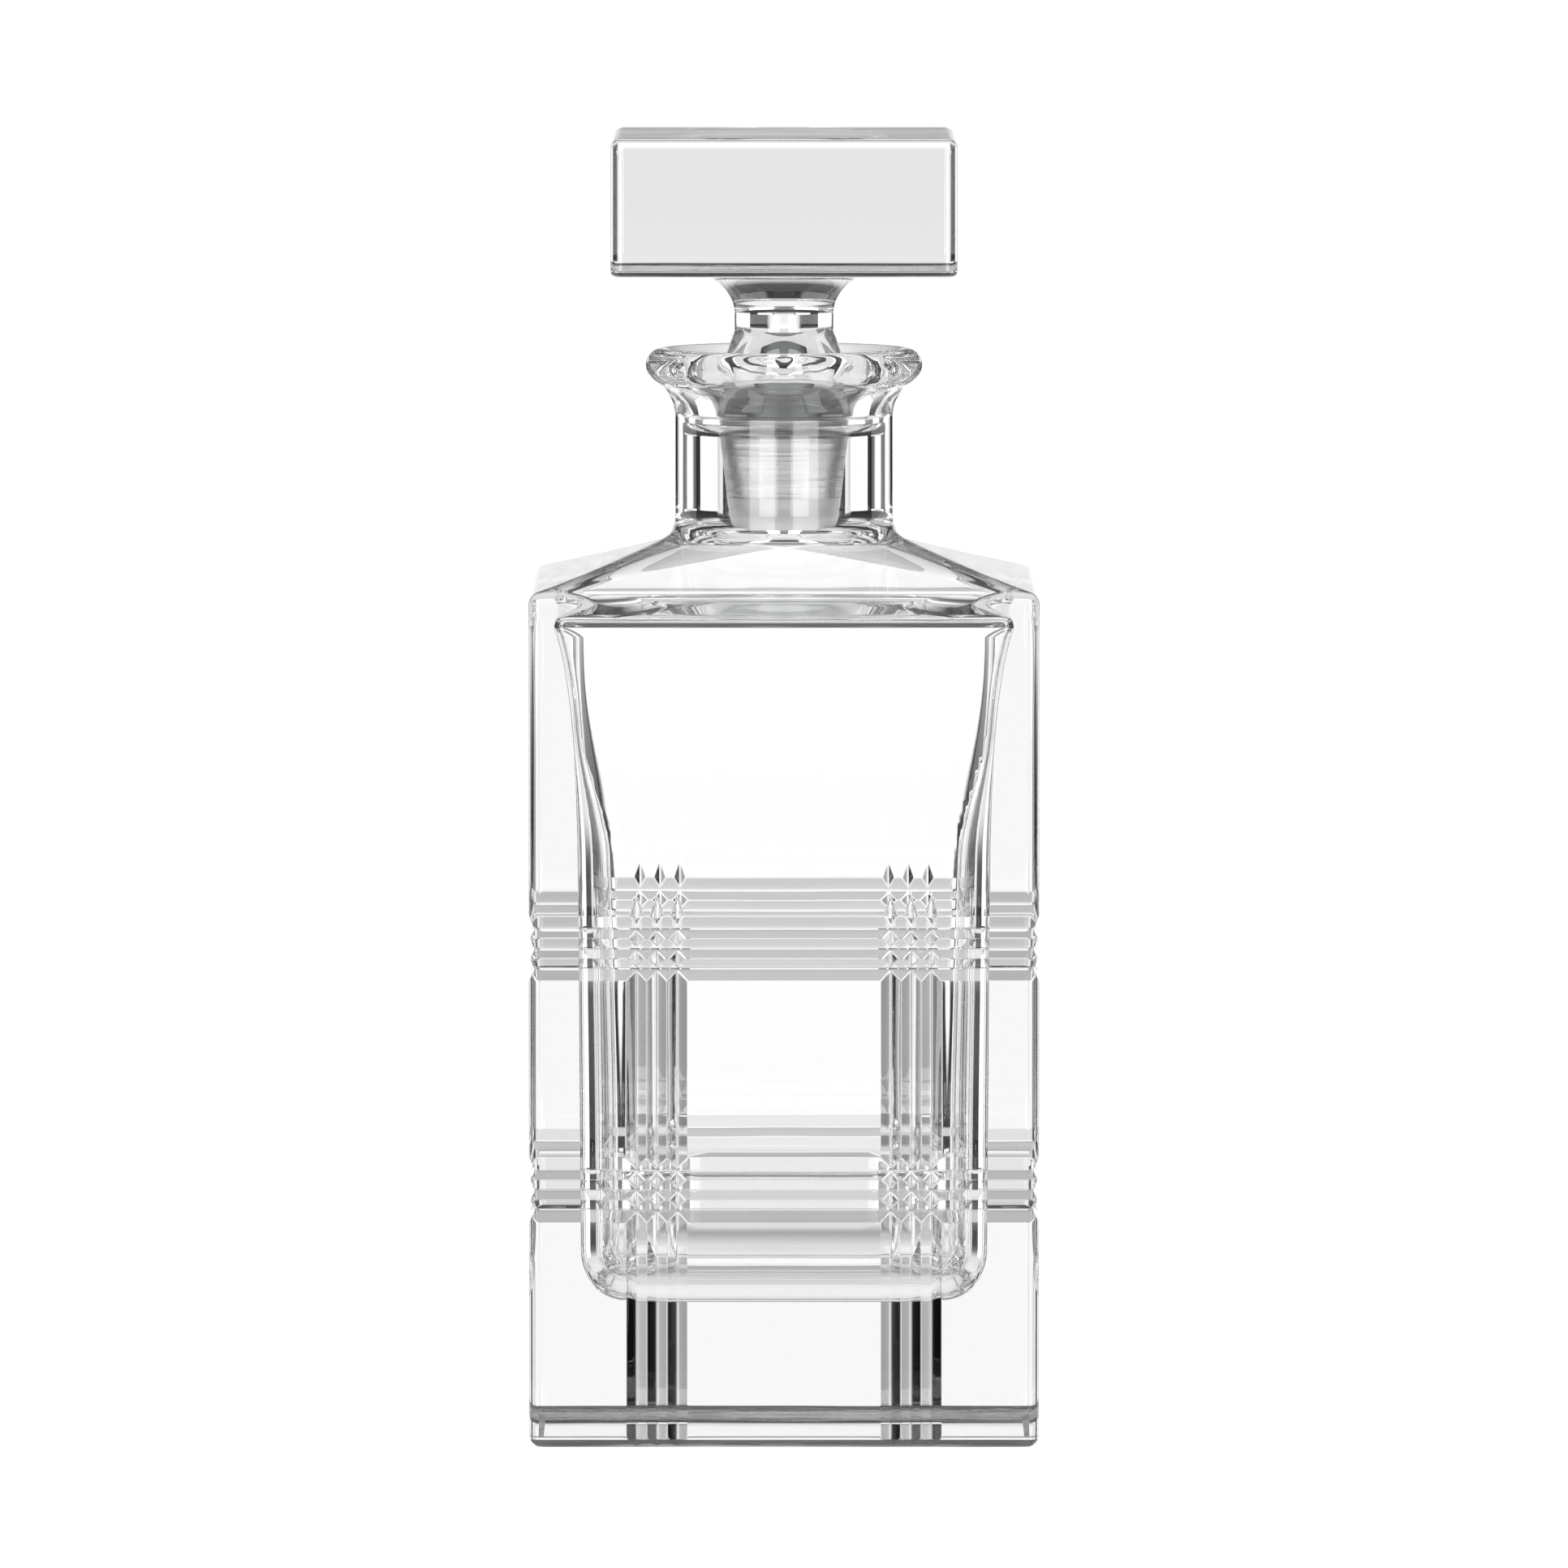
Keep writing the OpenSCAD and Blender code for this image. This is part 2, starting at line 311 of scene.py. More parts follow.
def loft(stations: list[Station], angles: np.ndarray) -> tuple[np.ndarray, np.ndarray]:
    """Points and shading normals of a loft through its stations.

    Args:
        stations: Levels along the profile, in order.
        angles: Ray angles shared by every level.

    Returns:
        Points and normals, each station by ray by 3. Normals point left of the profile's direction
        of travel, which is out of the glass when the profile starts at the sole and climbs outside.
    """
    half = np.array([station.half for station in stations])
    corner = np.array([station.corner for station in stations])
    height = np.array([station.height for station in stations])
    plane, outward = square_sections(half, corner, angles)
    points = np.concatenate([plane, np.broadcast_to(height[:, None, None], (*plane.shape[:2], 1))], axis=-1)
    step = np.diff(points, axis=0)
    length = np.linalg.norm(step, axis=-1, keepdims=True)
    unit = step / np.maximum(length, TINY_LENGTH)
    along = np.empty_like(points)
    along[0], along[-1] = unit[0], unit[-1]
    weight = length[1:] / (length[:-1] + length[1:])
    along[1:-1] = unit[:-1] * weight + unit[1:] * (1.0 - weight)
    around = np.stack([-outward[..., 1], outward[..., 0], np.zeros(outward.shape[:2])], axis=-1)
    normals = np.cross(around, along)
    normals /= np.linalg.norm(normals, axis=-1, keepdims=True)
    return points, normals


@dataclass
class Cutting:
    """The level and upright mitre cuts in the four sides."""

    level_heights: tuple[float, float] = (47.8, 92.4)
    level_depth: float = 1.0
    level_half: float = 2.24
    level_pitch: float = 3.7
    upright_place: float = 23.4
    upright_depth: float = 0.85
    upright_half: float = 1.86
    upright_pitch: float = 3.75
    upright_full_height: float = 96.2
    upright_run: float = 5.3
    run_margin: float = 0.4
    valley_softness: float = 0.1
    edge_softness: float = 0.1
    line_gap: float = 0.21

    def level(self, height: np.ndarray) -> np.ndarray:
        """Depth of the level cuts.

        Args:
            height: Height above the sole.

        Returns:
            The depth, below zero where the side is untouched.
        """
        slope = self.level_depth / self.level_half
        depth = np.full_like(height, -1.0)
        for middle in self.level_heights:
            for k in (-1, 0, 1):
                away = height - middle - k * self.level_pitch
                cut = self.level_depth - slope * (np.hypot(away, self.valley_softness) - self.valley_softness)
                depth = soft_max(depth, cut, self.edge_softness)
        return depth

    def upright(self, across: np.ndarray, height: np.ndarray) -> np.ndarray:
        """Depth of the upright cuts.

        Args:
            across: Distance from the middle of the side.
            height: Height above the sole.

        Returns:
            The depth, below zero where the side is untouched.
        """
        slope = self.upright_depth / self.upright_half
        rise = np.maximum(height - self.upright_full_height, 0.0) * self.upright_depth / self.upright_run
        depth = np.full(np.broadcast(across, height).shape, -1.0)
        for k in (-1, 0, 1):
            away = np.abs(across) - self.upright_place - k * self.upright_pitch
            cut = self.upright_depth - slope * (np.hypot(away, self.valley_softness) - self.valley_softness)
            depth = soft_max(depth, cut - rise, self.edge_softness)
        return depth

    def depth(self, across: np.ndarray, height: np.ndarray) -> np.ndarray:
        """Depth of the level and upright cuts together.

        Args:
            across: Distance from the middle of the side.
            height: Height above the sole.

        Returns:
            The depth, below zero where the side is untouched.
        """
        return soft_max(self.level(height), self.upright(across, height), self.edge_softness)

    def lines(self, middle: float, half: float, pitch: float) -> list[float]:
        """Grid lines across a group of three cuts, close at each valley and ridge.

        Args:
            middle: Place of the middle valley.
            half: Half width of a cut at the face.
            pitch: Distance between valleys.

        Returns:
            The places of the lines.
        """
        marks = sorted({-pitch - half, -pitch, -pitch / 2, 0.0, pitch / 2, pitch, pitch + half})
        places: list[float] = [marks[0] - self.line_gap, marks[-1] + self.line_gap]
        for low, high in zip(marks, marks[1:]):
            places.extend(np.linspace(low, high, max(2, round((high - low) / self.line_gap)) + 1))
        for mark in marks:
            places.extend((mark - self.line_gap / 2, mark + self.line_gap / 2))
        return [middle + p for p in places]


def merge_lines(lines: list[float], apart: float) -> np.ndarray:
    """Sorts grid lines and drops those that fall on one another.

    Args:
        lines: The places, in any order.
        apart: Smallest distance that is kept.

    Returns:
        The places that are kept, in order.
    """
    kept: list[float] = []
    for place in sorted(lines):
        if not kept or place - kept[-1] > apart:
            kept.append(place)
    return np.array(kept)


@dataclass
class Vessel:
    """The decanter's body: base, cut sides, shoulder, neck and lip in one piece of glass."""

    half: float
    shoulder_height: float = 157.5
    edge_radius: float = 1.9
    foot_radius: float = 2.4
    top_edge_radius: float = 2.2
    shoulder_rise: float = 0.28
    shoulder_curve: float = 0.0018
    floor_height: float = 26.0
    floor_half: float = 29.7
    floor_round_height: float = 10.0
    floor_rings: tuple[float, ...] = (0.8, 0.5, 0.2)
    hollow_half: float = 37.6
    wall_start: float = 42.0
    wall_lean: float = 0.006
    hollow_flare: float = 3.95
    flare_power: int = 8
    wall_margins: tuple[float, float] = (0.6, 1.0)
    hollow_corner: float = 7.8
    corner_ease: float = 1.2
    corner_ease_span: tuple[float, float] = (60.0, 112.0)
    corner_sharpen_span: tuple[float, float] = (108.0, 132.0)
    hollow_corner_top: float = 1.6
    hollow_top: float = 151.0
    neck_radius: float = 20.3
    neck_foot_radius: float = 4.2
    neck_start: float = 172.0
    lip_flare_height: float = 188.2
    lip_flare_radius: float = 7.0
    lip_flare_end: float = 117.0
    lip_radius: float = 3.1
    lip_centre: tuple[float, float] = (22.7, 197.8)
    lip_span: tuple[float, float] = (-42.0, 112.0)
    mouth_radius: float = 12.0
    mouth_start: float = 117.0
    mouth_break: tuple[float, float] = (0.5, 0.6)
    seat_top: tuple[float, float] = (12.35, 188.0)
    seat_low: tuple[float, float] = (12.23, 187.0)
    step_start: tuple[float, float] = (0.05, 0.1)
    step_end: tuple[float, float] = (0.1, 1.4)
    step_height: float = 1.7
    bore_radius: float = 12.55
    bore_margins: tuple[float, float] = (2.4, 0.6)
    bore_flare_height: float = 171.5
    bore_flare_radius: float = 6.0
    inner_slope: float = 0.5
    inner_edge_radius: float = 1.2
    least_edge_radius: float = 0.5
    side_top_gaps: tuple[float, float] = (1.6, 0.5)
    across_lines: tuple[float, float, int] = (-42.0, 42.0, 22)
    height_lines: tuple[tuple[float, float, int], ...] = (
        (4.0, 40.0, 13),
        (56.0, 84.0, 9),
        (103.0, 153.0, 14),
    )
    unstretched: float = 31.0
    cutting: Cutting = field(default_factory=Cutting)
    corner_steps: int = 12

    def shoulder_z(self, half: float) -> float:
        """Height of the outside of the shoulder.

        Args:
            half: Half width of the shoulder's section.

        Returns:
            Height of that section.
        """
        inwards = self.half - half
        return self.shoulder_height + self.shoulder_rise * inwards + self.shoulder_curve * inwards**2

    def hollow_wall(self, height: np.ndarray | float) -> np.ndarray | float:
        """Half width of the hollow, whose walls lean out and then thin towards the shoulder.

        Args:
            height: Height on the walls.

        Returns:
            Half width at that height.
        """
        above = height - self.wall_start
        up = np.maximum(above / (self.hollow_top - self.wall_start), 0.0)
        return self.hollow_half + self.wall_lean * above + self.hollow_flare * up**self.flare_power

    def hollow_corner_at(self, height: float) -> float:
        """Corner radius of the hollow, which eases a little and then sharpens.

        Args:
            height: Height on the walls.

        Returns:
            Corner radius at that height.
        """
        eased = self.hollow_corner - self.corner_ease * smooth_step(height, *self.corner_ease_span)
        sharpening = self.hollow_corner - self.corner_ease - self.hollow_corner_top
        return float(eased - sharpening * smooth_step(height, *self.corner_sharpen_span))

    def side_lines(self) -> tuple[np.ndarray, np.ndarray]:
        """Grid lines of a side, close together at the cuts.

        Returns:
            Places across the side, and heights up it.
        """
        cut = self.cutting
        end = self.half - self.edge_radius
        across = [-end, end, *np.linspace(*self.across_lines)]
        for middle in (cut.upright_place, -cut.upright_place):
            across += cut.lines(middle, cut.upright_half, cut.upright_pitch)
        heights = [self.foot_radius * (1.0 - math.cos(a)) for a in np.linspace(0.0, math.pi / 2, 10)]
        for span in self.height_lines:
            heights += list(np.linspace(*span))
        for middle in cut.level_heights:
            heights += cut.lines(middle, cut.level_half, cut.level_pitch)
        run_end = cut.upright_full_height + cut.upright_run + cut.run_margin
        heights += list(np.arange(cut.upright_full_height, run_end, cut.line_gap))
        return merge_lines(across, LINE_MERGE), merge_lines(heights, LINE_MERGE)

    def side_rings(self) -> tuple[np.ndarray, np.ndarray]:
        """The sole's edge and the four cut sides as fine rings.

        Returns:
            Points and shading normals, ring by point by 3.
        """
        across, heights = self.side_lines()
        turn = np.radians(np.linspace(0.0, 90.0, self.corner_steps + 1)[1:-1])
        flat = np.concatenate([np.zeros(len(across)), turn])
        place = np.concatenate([across, np.full(len(turn), self.half - self.edge_radius)])
        height = heights[:, None]
        points = self.side_points(place[None], flat[None], height)
        # The normals come from small steps round the side and up it, in millimetres and in radians.
        step, turn_step = 0.012, 0.004
        is_arc = np.arange(len(flat)) >= len(across)
        d_place, d_turn = np.where(is_arc, 0.0, step), np.where(is_arc, turn_step, 0.0)
        around = self.side_points(place + d_place, flat + d_turn, height) - self.side_points(
            place - d_place, flat - d_turn, height
        )
        upward = self.side_points(place[None], flat[None], height + step) - self.side_points(
            place[None], flat[None], height - step
        )
        normals = np.cross(around, upward)
        normals /= np.linalg.norm(normals, axis=-1, keepdims=True)
        normals[0] = (0.0, 0.0, -1.0)
        quarters, quarter_normals = [], []
        for k in range(4):
            c, s = round(math.cos(k * math.pi / 2)), round(math.sin(k * math.pi / 2))
            spin = np.array([[c, s, 0.0], [-s, c, 0.0], [0.0, 0.0, 1.0]])
            quarters.append(points @ spin)
            quarter_normals.append(normals @ spin)
        return np.concatenate(quarters, axis=1), np.concatenate(quarter_normals, axis=1)

    def side_points(self, place: np.ndarray, turn: np.ndarray, height: np.ndarray) -> np.ndarray:
        """Points of one side and the upright edge after it.

        Args:
            place: Distance from the middle of the side, on its flat.
            turn: Angle round the upright edge, 0 on the flat.
            height: Height above the sole; the foot is rounded below foot_radius.

        Returns:
            Points with the outward direction first, of the broadcast shape by 3.
        """
        place, turn, height = np.broadcast_arrays(place, turn, height)
        up = np.clip(self.foot_radius - height, 0.0, self.foot_radius)
        inset = self.foot_radius - np.sqrt(np.maximum(self.foot_radius**2 - up**2, 0.0))
        half = self.half - inset
        corner = np.maximum(self.edge_radius - inset, self.least_edge_radius)
        centre = half - corner
        end = self.half - self.edge_radius
        past = (np.abs(place) - self.unstretched) / (end - self.unstretched)
        stretch = np.clip(past, 0.0, None) * (centre - end)
        lateral = place + np.sign(place) * stretch
        depth = self.cutting.depth(place, height)
        soft = self.cutting.edge_softness
        on_flat = soft_min(half, self.half - depth, soft)
        level = self.half - self.cutting.level(height) - centre
        ray_x, ray_y = np.cos(turn), np.sin(turn)
        reach = soft_min(corner, level / np.maximum(ray_x, TINY_RAY), soft)
        reach = soft_min(reach, level / np.maximum(ray_y, TINY_RAY), soft)
        round_it = turn > 0.0
        x = np.where(round_it, centre + reach * ray_x, on_flat)
        y = np.where(round_it, centre + reach * ray_y, lateral)
        return np.stack([x, y, height], axis=-1)

    def shoulder(self) -> list[Station]:
        """Stations from the top of the sides to the foot of the neck.

        Returns:
            The stations, going up and inwards.
        """
        slope = self.shoulder_rise
        lean = math.degrees(math.atan(slope))
        edge = self.top_edge_radius
        end_half = self.half - edge + edge * math.sin(math.radians(lean))
        centre_z = self.shoulder_z(end_half) - edge * math.cos(math.radians(lean))
        rounding = arc((self.half - edge, centre_z), edge, 0.0, 90.0 - lean, 6)
        stations = [Station(self.half, self.edge_radius, centre_z - gap) for gap in self.side_top_gaps]
        stations += [Station(r, self.edge_radius, z) for r, z in rounding]
        inwards = self.half - self.neck_radius
        foot_lean = math.atan(slope + 2.0 * self.shoulder_curve * inwards)
        foot_half = self.neck_radius + self.neck_foot_radius * (1.0 - math.sin(foot_lean))
        for t in np.linspace(0.0, 1.0, 27)[1:]:
            half = end_half + (foot_half - end_half) * t
            corner = self.edge_radius + (foot_half - self.edge_radius) * t**CORNER_GROWTH
            stations.append(Station(half, min(half, corner), self.shoulder_z(half)))
        centre = (
            self.neck_radius + self.neck_foot_radius,
            self.shoulder_z(foot_half) + self.neck_foot_radius * math.cos(foot_lean),
        )
        fillet = arc(centre, self.neck_foot_radius, 270.0 - math.degrees(foot_lean), 180.0, 10)
        return stations + [Station(r, r, z) for r, z in fillet[1:]]

    def neck(self) -> list[Station]:
        """Stations up the neck, round the lip and down the mouth to the seat.

        Returns:
            The stations; those inside the mouth are fire finished.
        """
        flare_centre = (self.neck_radius + self.lip_flare_radius, self.lip_flare_height)
        flare = arc(flare_centre, self.lip_flare_radius, 180.0, self.lip_flare_end, 16)
        lip = arc(self.lip_centre, self.lip_radius, *self.lip_span, 26)
        (seat_r, seat_z), (break_r, break_z) = self.seat_top, self.mouth_break
        mouth_centre = (seat_r + break_r + self.mouth_radius, seat_z + break_z)
        mouth = arc(mouth_centre, self.mouth_radius, self.mouth_start, 180.0, 18)
        levels = np.linspace(self.neck_start, self.lip_flare_height - 1.0, 8)
        straight = [(self.neck_radius, z) for z in levels]
        outside = [Station(r, r, z) for r, z in straight + flare + lip]
        return outside + [Station(r, r, z, Surface.FIRE_FINISHED) for r, z in mouth]

    def bore(self) -> list[Station]:
        """Stations down the seat of the plug and the wider bore, and out under the shoulder.

        Returns:
            The stations, going down.
        """
        low_r, low_z = self.seat_low
        seat = list(zip(np.linspace(self.seat_top[0], low_r, 9), np.linspace(self.seat_top[1], low_z, 9)))
        step = [
            (low_r + self.step_start[0], low_z - self.step_start[1]),
            (self.bore_radius - self.step_end[0], low_z - self.step_end[1]),
            (self.bore_radius, low_z - self.step_height),
        ]
        margin_top, margin_low = self.bore_margins
        levels = np.linspace(low_z - margin_top, self.bore_flare_height + margin_low, 5)
        polished = [(self.bore_radius, z) for z in levels]
        centre = (self.bore_radius + self.bore_flare_radius, self.bore_flare_height)
        lean = math.degrees(math.atan(self.inner_slope))
        flare = arc(centre, self.bore_flare_radius, 180.0, 270.0 - lean, 16)
        return [Station(r, r, z) for r, z in seat + step + polished + flare]

    def hollow(self) -> list[Station]:
        """Stations under the shoulder, down the inner walls and round to the floor.

        Returns:
            The stations, going down and then inwards.
        """
        lean = math.atan(self.inner_slope)
        start_half = self.bore_radius + self.bore_flare_radius * (1.0 - math.sin(lean))
        start_z = self.bore_flare_height - self.bore_flare_radius * math.cos(lean)
        top_half = float(self.hollow_wall(self.hollow_top))
        edge = self.inner_edge_radius
        end_half = top_half - edge * (1.0 - math.sin(lean))
        stations = []
        for t in np.linspace(0.0, 1.0, 24)[1:]:
            half = start_half + (end_half - start_half) * t
            growth = (1.0 - t) ** CORNER_GROWTH
            corner = self.hollow_corner_top + (start_half - self.hollow_corner_top) * growth
            z = start_z - self.inner_slope * (half - start_half)
            stations.append(Station(half, min(half, corner), z))
        centre = (top_half - edge, stations[-1].height - edge * math.cos(lean))
        rounding = arc(centre, edge, 90.0 - math.degrees(lean), 0.0, 6)
        stations += [Station(r, self.hollow_corner_top, z) for r, z in rounding[1:]]
        round_top = self.floor_height + self.floor_round_height
        margin_top, margin_low = self.wall_margins
        for z in np.linspace(centre[1] - margin_top, round_top + margin_low, 58):
            stations.append(Station(float(self.hollow_wall(z)), self.hollow_corner_at(z), z))
        low_half = float(self.hollow_wall(round_top))
        for a in np.radians(np.linspace(90.0, 0.0, 15)):
            half = self.floor_half + (low_half - self.floor_half) * math.sin(a)
            z = self.floor_height + self.floor_round_height * (1.0 - math.cos(a))
            stations.append(Station(half, self.hollow_corner, z))
        for t in self.floor_rings:
            stations.append(Station(self.floor_half * t, self.hollow_corner * t, self.floor_height))
        return stations

    def build(self, materials: list[bpy.types.Material]) -> bpy.types.Object:
        """Builds the vessel's skin.

        Args:
            materials: Materials in the order of Surface.

        Returns:
            The vessel's object.
        """
        mesh = GlassMesh()
        points, normals = self.side_rings()
        worn_below = self.foot_radius * WORN_SHARE
        worn = [Surface.WORN if z < worn_below else Surface.POLISHED for z in points[:, 0, 2]]
        sole, side_top = mesh.add_rings(points, normals, worn)
        mesh.cap(sole, (0.0, 0.0, 0.0), up=False)
        stations = self.shoulder() + self.neck() + self.bore() + self.hollow()
        points, normals = loft(stations, polar_angles(LOFT_STEPS))
        upper_start, floor = mesh.add_rings(points, normals, [s.surface for s in stations])
        mesh.zip_rings(side_top, upper_start)
        mesh.cap(floor, (0.0, 0.0, self.floor_height), up=True)
        return mesh.to_object("vessel", materials)

    def dress(self, piece: bpy.types.Object) -> None:
        """Ties the vessel to its CAD body and hides the CAD part it replaces."""
        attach(piece, "decanter")
        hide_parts("decanter_body")


@dataclass
class Stopper:
    """The stopper: square block, turned stem and ground plug in one piece of glass."""

    half: float
    top: float
    tip: float
    block_height: float = 25.6
    block_edge_radius: float = 2.2
    block_rim_radius: float = 1.1
    block_crown_radius: float = 2.0
    block_margin: float = 0.3
    underside_start: float = 19.6
    underside_rings: tuple[float, ...] = (0.15, 0.4, 0.7, 0.92)
    top_rings: tuple[float, ...] = (0.97, 0.6, 0.3)
    waist_radius: float = 9.2
    waist_low: float = 204.2
    waist_high: float = 207.2
    waist_margins: tuple[float, float] = (0.2, 0.3)
    stem_flare_radius: float = 10.4
    stem_flare_height: float = 8.2
    stem_flare_turn: float = 87.0
    curve_power: float = 2.2
    curve_end: float = 0.98
    ground_top: tuple[float, float] = (12.3, 188.0)
    ground_low: tuple[float, float] = (10.62, 173.4)
    ground_break: tuple[float, float] = (0.25, 0.05)
    tip_radius: float = 4.4
    tip_inset: float = 0.1
    tip_rise: float = 0.7
    shoulder_height: float = 189.6
    least_corner: float = 0.3

    def plug(self) -> list[Station]:
        """Stations from the rounded tip up the ground cone.

        Returns:
            The stations; the tip is satin and the cone is ground.
        """
        centre_r = self.ground_low[0] - self.tip_inset - self.tip_radius
        centre = (centre_r, self.tip + self.tip_rise + self.tip_radius)
        # The end of the plug is slightly domed: three rings, each a little higher than the one inside it.
        crown = [(1.5, self.tip + 0.01), (centre_r / 2, self.tip + 0.2), (centre_r * 0.8, self.tip + 0.5)]
        rounding = arc(centre, self.tip_radius, -90.0, 0.0, 14)
        stations = [Station(r, r, z, Surface.SATIN) for r, z in crown + rounding]
        radii = np.linspace(self.ground_low[0], self.ground_top[0], 12)
        heights = np.linspace(self.ground_low[1], self.ground_top[1], 12)
        return stations + [Station(r, r, z, Surface.GROUND) for r, z in zip(radii, heights)]

    def stem(self) -> list[Station]:
        """Stations from the ground cone up the waisted stem to the block.

        Returns:
            The stations, going up.
        """
        ground_r, ground_z = self.ground_top
        break_r, break_z = self.ground_break
        stations = [Station(ground_r, ground_r, ground_z + break_z)]
        wide = ground_r - break_r
        for t in np.linspace(0.0, self.curve_end, 22):
            r = wide - (wide - self.waist_radius) * t**self.curve_power
            stations.append(Station(r, r, self.shoulder_height + (self.waist_low - self.shoulder_height) * t))
        margin_low, margin_top = self.waist_margins
        for z in np.linspace(self.waist_low + margin_low, self.waist_high - margin_top, 4):
            stations.append(Station(self.waist_radius, self.waist_radius, z))
        for a in np.radians(np.linspace(0.0, self.stem_flare_turn, 26)):
            r = self.waist_radius + self.stem_flare_radius * (1.0 - math.cos(a))
            stations.append(Station(r, r, self.waist_high + self.stem_flare_height * math.sin(a)))
        return stations

    def block(self) -> list[Station]:
        """Stations out along the block's underside, up its sides and over its top.

        Returns:
            The stations; the lowest part of the lower edge is worn.
        """
        low_z = self.top - self.block_height
        rim = self.block_rim_radius
        inset = self.half - rim
        stations = []
        for t in self.underside_rings:
            half = self.underside_start + (inset - self.underside_start) * t
            stations.append(Station(half, half + (self.block_edge_radius - rim - half) * t, low_z))
        low = arc((inset, low_z + rim), rim, -90.0, 0.0, 8)
        crown = self.block_crown_radius
        high = arc((self.half - crown, self.top - crown), crown, 0.0, 90.0, 14)
        levels = np.linspace(low_z + rim + self.block_margin, self.top - crown - self.block_margin, 5)
        middle = [(self.half, z) for z in levels]
        for r, z in low + middle + high:
            corner = max(self.block_edge_radius - (self.half - r), self.least_corner)
            surface = Surface.WORN if z < low_z + rim * WORN_SHARE else Surface.POLISHED
            stations.append(Station(r, corner, z, surface))
        for t in self.top_rings:
            stations.append(Station((self.half - crown) * t, self.least_corner, self.top))
        return stations

    def build(self, materials: list[bpy.types.Material]) -> bpy.types.Object:
        """Builds the stopper's skin.

        Args:
            materials: Materials in the order of Surface.

        Returns:
            The stopper's object.
        """
        mesh = GlassMesh()
        stations = self.plug() + self.stem() + self.block()
        points, normals = loft(stations, polar_angles(LOFT_STEPS))
        tip, crown = mesh.add_rings(points, normals, [s.surface for s in stations])
        mesh.cap(tip, (0.0, 0.0, self.tip), up=False)
        mesh.cap(crown, (0.0, 0.0, self.top), up=True)
        return mesh.to_object("stopper_glass", materials)

    def dress(self, piece: bpy.types.Object) -> None:
        """Ties the stopper to its CAD body and hides the CAD part it replaces."""
        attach(piece, "stopper")
        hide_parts("stopper")


def wire(
    links: bpy.types.NodeLinks, *wires: tuple[bpy.types.Node, str | int, bpy.types.Node, str | int]
) -> None:
    """Links sockets of nodes.

    Args:
        links: Links of the nodes' tree.
        wires: Node, output, next node and input of each link.
    """
    for source, outlet, target, inlet in wires:
        links.new(source.outputs[outlet], target.inputs[inlet])


def set_range(node: bpy.types.Node, ends: tuple[float, float], values: tuple[float, float]) -> None:
    """Sets what a Map Range node reads and gives.

    Args:
        node: The node.
        ends: Places where the change begins and ends.
        values: Value at each end.
    """
    node.inputs["From Min"].default_value, node.inputs["From Max"].default_value = ends
    node.inputs["To Min"].default_value, node.inputs["To Max"].default_value = values


def unevenness_group() -> bpy.types.NodeTree:
    """Node group for the slow unevenness of polished glass and its fine handling marks.

    Returns:
        A group that takes Scale and Upright and gives Height and Marks. An Upright below 1 draws the
        swells out along the height of the piece.
    """
    group = bpy.data.node_groups.new("glass_unevenness", "ShaderNodeTree")
    group.interface.new_socket("Scale", in_out="INPUT", socket_type="NodeSocketFloat")
    group.interface.new_socket("Upright", in_out="INPUT", socket_type="NodeSocketFloat")
    group.interface.new_socket("Height", in_out="OUTPUT", socket_type="NodeSocketFloat")
    group.interface.new_socket("Marks", in_out="OUTPUT", socket_type="NodeSocketFloat")
    nodes, links = group.nodes, group.links
    inlet = nodes.new("NodeGroupInput")
    outlet = nodes.new("NodeGroupOutput")
    place = nodes.new("ShaderNodeTexCoord")
    stretch = nodes.new("ShaderNodeCombineXYZ")
    stretch.inputs["X"].default_value, stretch.inputs["Y"].default_value = 1.0, 1.0
    spread = nodes.new("ShaderNodeVectorMath")
    spread.operation = "MULTIPLY"
    swell = nodes.new("ShaderNodeTexNoise")
    swell.inputs["Detail"].default_value = 1.0
    marks = nodes.new("ShaderNodeTexNoise")
    marks.inputs["Scale"].default_value = 260.0
    marks.inputs["Detail"].default_value = 3.0
    wire(
        links,
        (inlet, "Upright", stretch, "Z"),
        (place, "Object", spread, 0),
        (stretch, "Vector", spread, 1),
        (spread, "Vector", swell, "Vector"),
        (place, "Object", marks, "Vector"),
        (inlet, "Scale", swell, "Scale"),
        (swell, "Fac", outlet, "Height"),
        (marks, "Fac", outlet, "Marks"),
    )
    return group


def steep_in_glass(made: bpy.types.Material) -> None:
    """Adds the slight grey that light takes on in thick crystal.

    Args:
        made: A material of the glass's skin.
    """
    density = 1.9
    bulk = made.node_tree.nodes.new("ShaderNodeVolumeAbsorption")
    bulk.inputs["Color"].default_value = (0.03, 0.05, 0.06, 1.0)
    bulk.inputs["Density"].default_value = density
    surface = made.node_tree.nodes["Material Output"]
    made.node_tree.links.new(bulk.outputs["Volume"], surface.inputs["Volume"])


